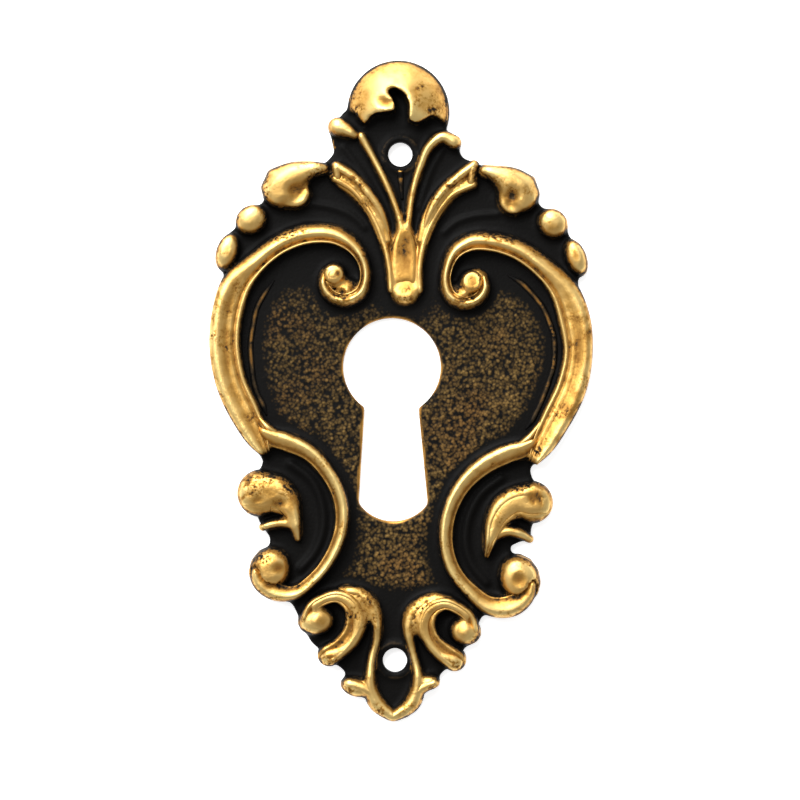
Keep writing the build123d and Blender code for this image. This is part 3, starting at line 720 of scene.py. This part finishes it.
def laid_leafwork():
    """The palmette, the leaves and the eyes."""
    bars = [laid_moulding(trough, HOLLOW_CREST, TROUGH) for trough in (STEM, LEFT_BLADE, RIGHT_BLADE)]
    for ridge in PALMETTE_RIDGES + LEAF_RIDGES:
        bars.append(laid_moulding(ridge, VEIN_CREST, RIDGE, rounded=True))
    bars += [
        laid_moulding(LEFT_LEAF, LEAF_CREST, LEAF, rounded=True),
        laid_moulding(RIGHT_LEAF, LEAF_CREST, DISHED, outer=-1, rounded=True),
        laid_moulding(LEFT_FOOT_BAND, LEAF_CREST, DISHED, outer=-1, rounded=True),
        laid_moulding(RIGHT_FOOT_BAND, LEAF_CREST, DISHED, rounded=True),
    ]
    return bars + [laid_button(*button) for button in BUTTONS]


def laid_lines():
    """The fine step along each border, the lip round each corner into the waist scroll, and the spine."""
    steps = []
    for line in (LEFT_STEP, RIGHT_STEP):
        widths = [STEP_END] + [STEP_HALF_WIDTH] * (len(line) - 2) + [STEP_END]
        stations = [(x, y, half_width) for (x, y), half_width in zip(line, widths)]
        steps.append(laid_moulding(stations, STEP_CREST, STEP_LINE))
    lips = [laid_moulding(lip, CORNER_CREST, RIDGE) for lip in (LEFT_CORNER, RIGHT_CORNER)]
    return steps + lips + [laid_moulding(SPINE, SPINE_CREST, RIDGE)]


def tuck(skin, bars):
    """Lowers the skin where a bar laid over it stands about as high, so that only the bar shows."""
    points = mesh_points(skin)
    laid = np.concatenate([mesh_points(bar) for bar in bars] + [points * (1.0, 1.0, 0.0)])
    field = HeightField(laid)
    cover = field.at(field.height, points)
    near = np.abs(points[:, 2] - cover) < TUCK_REACH
    hidden = near & (np.minimum(points[:, 2], cover) > GROUND + TUCK_DEPTH)
    points[:, 2] = np.where(hidden, np.minimum(points[:, 2], cover - TUCK_DEPTH), points[:, 2])
    skin.vertices.foreach_set("co", points.ravel())
    return skin


def joined(skin, bars):
    """Skin and bars as one mesh, and the worn share of each of its points, with its painted shade and
    painted highlight.
    """
    bm = bmesh.new()
    rubbing_and_painted_light = [np.ones(len(skin.vertices))]
    bm.from_mesh(skin)
    for bar in bars:
        bm.from_mesh(bar)
        rub_and_painted_light = np.empty(len(bar.vertices))
        bar.attributes["rubbing_and_painted_light"].data.foreach_get("value", rub_and_painted_light)
        rubbing_and_painted_light.append(rub_and_painted_light)
        bpy.data.meshes.remove(bar)
    whole = bpy.data.meshes.new("carved plate")
    bm.to_mesh(whole)
    bm.free()
    bpy.data.meshes.remove(skin)
    return whole, np.concatenate(rubbing_and_painted_light)


def pebbled_share(flat, ground, field):
    """How far each point belongs to the pebbled ground, clear of the carving, the stem and the edges."""
    carving = field.blurred((field.height > GROUND + CARVING_RISE).astype(float), CARVING_BLUR)
    clear = smooth_step(*CARVING_CLEAR, field.at(carving, flat))
    inside = smooth_step(PEBBLE_FOOT, PEBBLE_FOOT + PEBBLE_FADE, flat[:, 1])
    inside *= smooth_step(PEBBLE_TOP, PEBBLE_TOP - PEBBLE_FADE, flat[:, 1])
    inside *= smooth_step(*STEM_SHADE, np.hypot(flat[:, 0] - STEM[-1][0], flat[:, 1] - STEM[-1][1]))
    from_edge = np.minimum(beyond(flat, LEFT_EDGE, 1), beyond(flat, RIGHT_EDGE, -1))
    bare = BARE_EDGE + FOOT_SHADE * smooth_step(*FOOT_ZONE, flat[:, 1])
    return ground * clear * inside * smooth_step(0.0, PEBBLE_FADE, from_edge - bare)


def pebbles(flat, pebbled):
    """Domed grains where the ground is pebbled, from 0 in the seams between them to 1 on their tops."""
    grain = np.zeros(len(flat))
    for index in np.nonzero(pebbled > PEBBLE_LEAST)[0]:
        x, y = flat[index]
        nearest, second = noise.voronoi(Vector((x / PEBBLE_PITCH, y / PEBBLE_PITCH, 0.0)))[0][:2]
        grain[index] = second - nearest
    return smooth_step(0.0, PEBBLE_SEAM, grain)


def hollowed_and_shaded(flat, rubbing_and_painted_light):
    """Depth of the hollows at each point, and the worn share left in them, lowered by the ovals' browner
    painted shade.
    """
    sunk = np.zeros(len(flat))
    for *oval, depth, shade_brown in HOLLOWS_AND_SHADE:
        share = oval_share(flat, *oval)
        sunk += depth * share
        # The brown of each oval: partly patina in the hollow, partly painted shade
        rubbing_and_painted_light = rubbing_and_painted_light * (1.0 - shade_brown * share)
    return sunk, rubbing_and_painted_light


def swelling(flat):
    """Rise of the soft swells at each point."""
    swell = np.zeros(len(flat))
    for half_width, rise, line in SWELLS:
        rows = smooth_way([(x, y, 0.0) for x, y in line])[::SWELL_SKIP]
        gap, side = polyline_distance(flat, rows[:, :2])
        swell = np.maximum(swell, rise * (1.0 - smooth_step(0.0, half_width, gap)))
    return swell


def unevenness(points):
    """Soft lumps of the cast skin, from -1 to 1."""
    return np.array([noise.noise(Vector(point) / CAST_PITCH) for point in points])


def round_keyhole(flat):
    return np.all((flat > KEY_BOX[0]) & (flat < KEY_BOX[1]), axis=1)


def outer_rim(flat, field):
    """True for the points along the plate's outer edge. The keyhole's edge doesn't belong to it."""
    outside = field.at(field.blurred((field.height <= 0).astype(float), RIM_REACH), flat)
    return (outside > RIM_SHARE) & ~round_keyhole(flat)


def burnished_with_painted_light(points, flat, field, rubbed_and_painted_light):
    """The worn share, carrying the painted shade and painted highlight of the profiles and hollows, with
    the bright edge of the keyhole and the rings of the pin seats.
    """
    hole = field.at(field.blurred((field.height < KEY_FLOOR).astype(float), KEY_EDGE), points)
    brim = round_keyhole(flat) & (points[:, 2] > KEY_BRIM)
    burnish_and_painted_light = np.maximum(rubbed_and_painted_light, KEY_BURNISH * smooth_step(*KEY_SHARE, hole) * brim)
    for y in PINS:
        gap = np.hypot(flat[:, 0], flat[:, 1] - y)
        ring = PIN_RING_BURNISH * (1.0 - smooth_step(0.0, PIN_RING_WIDTH, np.abs(gap - PIN_RING)))
        burnish_and_painted_light = np.where((gap < PIN_SEAT) & (points[:, 2] < GROUND + PIN_SEAT_RISE), ring, burnish_and_painted_light)
    return burnish_and_painted_light


def soiling(flat):
    soiled = np.zeros(len(flat))
    for oval in SOILED:
        soiled = np.maximum(soiled, oval_share(flat, *oval))
    return soiled


def chase(mesh, rubbing_and_painted_light):
    """Works the fine detail into the surface, and notes where the finish is worn bright, painted shade and
    painted highlight included.
    """
    points = mesh_points(mesh)
    normals = mesh_normals(mesh)
    flat = points[:, :2]
    field = HeightField(points)
    upward = smooth_step(*UPWARD_TILT, normals[:, 2])
    ground = smooth_step(*GROUND_SPREAD, np.abs(points[:, 2] - GROUND))
    ground *= smooth_step(*GROUND_TILT, normals[:, 2])
    pebbled = pebbled_share(flat, ground, field)
    grain = pebbles(flat, pebbled)
    # Hollows sink the carving; their brown is partly patina and partly painted shade
    sunk, rubbing_and_painted_light = hollowed_and_shaded(flat, rubbing_and_painted_light)
    rim = outer_rim(flat, field)
    brink = smooth_step(*BRINK_LEVEL, points[:, 2]) * (normals[:, 2] < BRINK_TILT)
    raised = smooth_step(*RAISED, points[:, 2] - GROUND)
    raised = np.where(rim, np.maximum(raised, brink), raised)

    points[:, 2] += swelling(flat) * ground
    points[:, 2] += PEBBLE_RISE * grain * pebbled - sunk * raised * upward
    points[:, 2] += CAST_RISE * unevenness(points) * raised * upward
    points = np.clip(points, np.array(cad_low) / MM + EDGE_SPARE, np.array(cad_high) / MM - EDGE_SPARE)
    points[:, 2] = np.where(points[:, 2] < 2.0 * EDGE_SPARE, BACK, points[:, 2])
    mesh.vertices.foreach_set("co", points.ravel())
    mesh.update()

    field = HeightField(points)
    normals = mesh_normals(mesh)
    seen = field.at(field.blurred(field.openness(), OPEN_BLUR), points)
    exposed = smooth_step(*OPEN_SHARE, seen) * smooth_step(*OPEN_TILT, normals[:, 2])
    on_rim = rim & (points[:, 2] > GROUND + RIM_RISE)
    exposed = np.where(on_rim, np.maximum(exposed, RIM_EXPOSED), exposed)
    proud = points[:, 2] - field.at(field.blurred(field.height, CREST_REACH), points)
    # More brass colour on the pebbles towards the lower right
    toward_lower_right = np.clip((flat[:, 0] - flat[:, 1] + LOWER_RIGHT_SPAN) / (2.0 * LOWER_RIGHT_SPAN), 0.0, 1.0)
    note(mesh, "soiled", soiling(flat))
    # Proud crests, which take the pale brass: partly polish, partly a painted highlight
    note(mesh, "crest", smooth_step(*CREST_RISE, proud))
    note(mesh, "passage", raised * (1.0 - exposed))
    # Worn-bright share, with the painted shade of the hollows and coves and the painted highlight of the
    # fine step
    note(mesh, "burnish_and_painted_light", burnished_with_painted_light(points, flat, field, rubbing_and_painted_light * raised * exposed))
    note(mesh, "pebbled", pebbled * (1.0 + PEBBLE_LOWER_RIGHT_GAIN * toward_lower_right) * (SEAM_WEAR + (1.0 - SEAM_WEAR) * grain))


def spread(material, source, low, high, at_low=0.0, at_high=1.0):
    """The source, spread so that low gives the one value and high the other."""
    node = material.node_tree.nodes.new("ShaderNodeMapRange")
    node.inputs["From Min"].default_value = low
    node.inputs["From Max"].default_value = high
    node.inputs["To Min"].default_value = at_low
    node.inputs["To Max"].default_value = at_high
    material.node_tree.links.new(source, node.inputs["Value"])
    return node.outputs["Result"]


def noise_share(material, scale, detail, low, high):
    """Noise on the object's own coordinates, spread so that low gives 0 and high gives 1."""
    nodes = material.node_tree.nodes
    place = nodes.new("ShaderNodeTexCoord")
    cloud = nodes.new("ShaderNodeTexNoise")
    cloud.inputs["Scale"].default_value = scale
    cloud.inputs["Detail"].default_value = detail
    material.node_tree.links.new(place.outputs["Object"], cloud.inputs["Vector"])
    return spread(material, cloud.outputs["Fac"], low, high)


def grain_share(material, scale, seam, middle):
    """Round grains on the object's own coordinates, from 0 at the seam distance to 1 near the middle."""
    nodes = material.node_tree.nodes
    place = nodes.new("ShaderNodeTexCoord")
    cells = nodes.new("ShaderNodeTexVoronoi")
    cells.inputs["Scale"].default_value = scale
    material.node_tree.links.new(place.outputs["Object"], cells.inputs["Vector"])
    return spread(material, cells.outputs["Distance"], seam, middle)


def combined(material, operation, first, second):
    """The result of an operation on two values, each a socket or a plain number."""
    node = material.node_tree.nodes.new("ShaderNodeMath")
    node.operation = operation
    for socket, value in zip(node.inputs, (first, second)):
        if isinstance(value, float):
            socket.default_value = value
        else:
            material.node_tree.links.new(value, socket)
    return node.outputs["Value"]


def tinted(material, share, plain, tint):
    """The plain colour, passing into the tint with the share."""
    node = material.node_tree.nodes.new("ShaderNodeMix")
    node.data_type = "RGBA"
    material.node_tree.links.new(share, node.inputs[MIX_SHARE])
    material.node_tree.links.new(plain, node.inputs[MIX_PLAIN])
    node.inputs[MIX_TINT].default_value = tint + (1.0,)
    return node.outputs[MIX_RESULT]


def noted(material, name):
    node = material.node_tree.nodes.new("ShaderNodeAttribute")
    node.attribute_name = name
    return node.outputs["Fac"]


def ramp(owner, stops):
    """A colour ramp in a material or a world, through stops of a place and a colour."""
    node = owner.node_tree.nodes.new("ShaderNodeValToRGB")
    first, last = node.color_ramp.elements
    for element, (place, colour) in ((first, stops[0]), (last, stops[-1])):
        element.position = place
        element.color = colour + (1.0,)
    for place, colour in stops[1:-1]:
        node.color_ramp.elements.new(place).color = colour + (1.0,)
    return node


def antiqued_brass():
    """Brass under a black finish that is worn off the high carving, with specks left in its pores; its
    colour also carries painted shade in the hollows and coves, and a painted highlight on the crests and
    the fine step.
    """
    material = bpy.data.materials.new("antiqued brass")
    material.use_nodes = True
    links = material.node_tree.links
    shader = material.node_tree.nodes["Principled BSDF"]

    soiled = noted(material, "soiled")
    patches = combined(material, "MAXIMUM", noise_share(material, *PATCHES), soiled)
    specks = noise_share(material, *SPECKS)
    stains = combined(material, "MULTIPLY", soiled, noise_share(material, *STAINS))
    dirt = combined(material, "MAXIMUM", combined(material, "MULTIPLY", patches, specks), stains)
    dirt = combined(material, "MULTIPLY", dirt, DIRT_STRENGTH)
    half_rubbed = combined(material, "MULTIPLY", noted(material, "passage"), specks)
    dirt = combined(material, "ADD", dirt, combined(material, "MULTIPLY", half_rubbed, PASSAGE_STRENGTH))
    tinge = combined(material, "MULTIPLY", noise_share(material, *TINGE), TINGE_STRENGTH)
    cover = combined(material, "ADD", dirt, tinge)
    # The burnish note also carries painted shade in the hollows and coves and a painted highlight on the
    # fine step
    gilt = combined(material, "SUBTRACT", noted(material, "burnish_and_painted_light"), cover)
    clumps = spread(material, noise_share(material, *CLUMPS), 0.0, 1.0, *CLUMP_STRENGTH)
    grains = combined(material, "MULTIPLY", grain_share(material, *GRAINS), clumps)
    tips = combined(material, "MULTIPLY", noted(material, "pebbled"), grains)
    tips = combined(material, "MULTIPLY", tips, TIP_STRENGTH)
    wear_and_painted_light = combined(material, "MAXIMUM", gilt, tips)

    tone = ramp(material, TONES)
    links.new(gilt, tone.inputs["Fac"])
    # Crests turn pale brass: partly polish, partly a painted highlight
    polished_highlight = spread(material, gilt, *POLISH_WEAR)
    polished_highlight = combined(material, "MULTIPLY", noted(material, "crest"), polished_highlight)
    tip_share = spread(material, tips, *TIP_WEAR)
    russet = combined(material, "MULTIPLY", tip_share, noise_share(material, *RUSSET_PATCHES))
    colour = tinted(material, polished_highlight, tone.outputs["Color"], POLISHED_HIGHLIGHT_BRASS)
    colour = tinted(material, tip_share, colour, PEBBLE_BRASS)
    colour = tinted(material, russet, colour, RUSSET)
    links.new(colour, shader.inputs["Base Color"])
    links.new(spread(material, wear_and_painted_light, *METAL_WEAR), shader.inputs["Metallic"])
    links.new(spread(material, wear_and_painted_light, *ROUGH_WEAR, *ROUGHNESS), shader.inputs["Roughness"])
    shader.inputs["Specular IOR Level"].default_value = FINISH_SHINE
    grit = material.node_tree.nodes.new("ShaderNodeBump")
    grit.inputs["Strength"].default_value = GRIT_STRENGTH
    grit.inputs["Distance"].default_value = GRIT_DEPTH
    level = combined(material, "ADD", tips, combined(material, "MULTIPLY", specks, SPECK_RISE))
    links.new(level, grit.inputs["Height"])
    links.new(grit.outputs["Normal"], shader.inputs["Normal"])
    return material


def flat_back(mesh):
    """Shades the plain back flat, with a sharp rim."""
    bm = bmesh.new()
    bm.from_mesh(mesh)
    for face in bm.faces:
        if face.normal.z < PLAIN_BACK_TILT and face.calc_center_median().z < 0.5 * SKIRT:
            face.smooth = False
            for edge in face.edges:
                edge.smooth = False
    bm.to_mesh(mesh)
    bm.free()


def plate():
    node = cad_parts["escutcheon_plate"]
    scrolls = laid_scrolls()
    mesh, rubbing_and_painted_light = joined(tuck(even_skin(node), scrolls), scrolls + laid_leafwork() + laid_lines())
    chase(mesh, rubbing_and_painted_light)
    mesh.shade_smooth()
    flat_back(mesh)
    mesh.transform(Matrix.Scale(MM, 4))
    mesh.materials.clear()
    mesh.materials.append(antiqued_brass())
    piece = bpy.data.objects.new("carved_plate", mesh)
    bpy.context.scene.collection.objects.link(piece)
    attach(piece, "root")
    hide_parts("escutcheon_plate")


def table_top():
    """A white table, lit through so that it stays white."""
    bm = bmesh.new()
    bmesh.ops.create_grid(bm, x_segments=1, y_segments=1, size=TABLE_HALF_WIDTH)
    bmesh.ops.translate(bm, vec=(0.0, 0.0, -TABLE_GAP * MM), verts=bm.verts)
    mesh = bpy.data.meshes.new("table")
    bm.to_mesh(mesh)
    bm.free()
    table = bpy.data.objects.new("table", mesh)
    bpy.context.scene.collection.objects.link(table)
    white = bpy.data.materials.new("white table")
    white.use_nodes = True
    shader = white.node_tree.nodes["Principled BSDF"]
    shader.inputs["Base Color"].default_value = TABLE_COLOUR + (1.0,)
    shader.inputs["Roughness"].default_value = TABLE_ROUGHNESS
    shader.inputs["Specular IOR Level"].default_value = 0.0
    shader.inputs["Emission Color"].default_value = (1.0, 1.0, 1.0, 1.0)
    shader.inputs["Emission Strength"].default_value = TABLE_GLOW
    mesh.materials.append(white)


def lamp(name, place, size, energy):
    data = bpy.data.lights.new(name, "AREA")
    data.shape = "DISK"
    data.size = size
    data.energy = energy
    light = bpy.data.objects.new(name, data)
    light.location = place
    light.rotation_euler = (-Vector(place)).to_track_quat("-Z", "Y").to_euler()
    bpy.context.scene.collection.objects.link(light)


def studio():
    """The room's light: a sky that is brighter round the sides and towards the window, and two lamps."""
    world = bpy.data.worlds.new("studio")
    world.use_nodes = True
    nodes = world.node_tree.nodes
    links = world.node_tree.links
    sky = nodes["Background"]
    way = nodes.new("ShaderNodeTexCoord")
    parts = nodes.new("ShaderNodeSeparateXYZ")
    overhead = ramp(world, SKY)
    overhead.color_ramp.interpolation = "EASE"
    window = nodes.new("ShaderNodeVectorMath")
    window.operation = "DOT_PRODUCT"
    window.inputs[1].default_value = WINDOW_SIDE
    links.new(way.outputs["Generated"], parts.inputs["Vector"])
    links.new(way.outputs["Generated"], window.inputs[0])
    links.new(parts.outputs["Z"], overhead.inputs["Fac"])
    links.new(overhead.outputs["Color"], sky.inputs["Color"])
    strength = spread(world, window.outputs["Value"], *WINDOW_SPAN, *WINDOW_STRENGTH)
    links.new(strength, sky.inputs["Strength"])
    bpy.context.scene.world = world
    for light in LAMPS:
        lamp(*light)
    bpy.context.scene.view_settings.view_transform = "Standard"


def camera():
    data = bpy.data.cameras.new("camera")
    data.lens = LENS
    data.sensor_width = SENSOR
    data.clip_start, data.clip_end = SIGHT
    eye = bpy.data.objects.new("camera", data)
    distance = PHOTO_WIDTH * LENS / SENSOR
    eye.location = (PHOTO_CENTRE[0] * MM, PHOTO_CENTRE[1] * MM, (distance + FOCUS_LEVEL) * MM)
    eye.rotation_euler = (0.0, 0.0, math.radians(PHOTO_LEAN))
    bpy.context.scene.collection.objects.link(eye)
    bpy.context.scene.camera = eye


plate()
table_top()
studio()
camera()
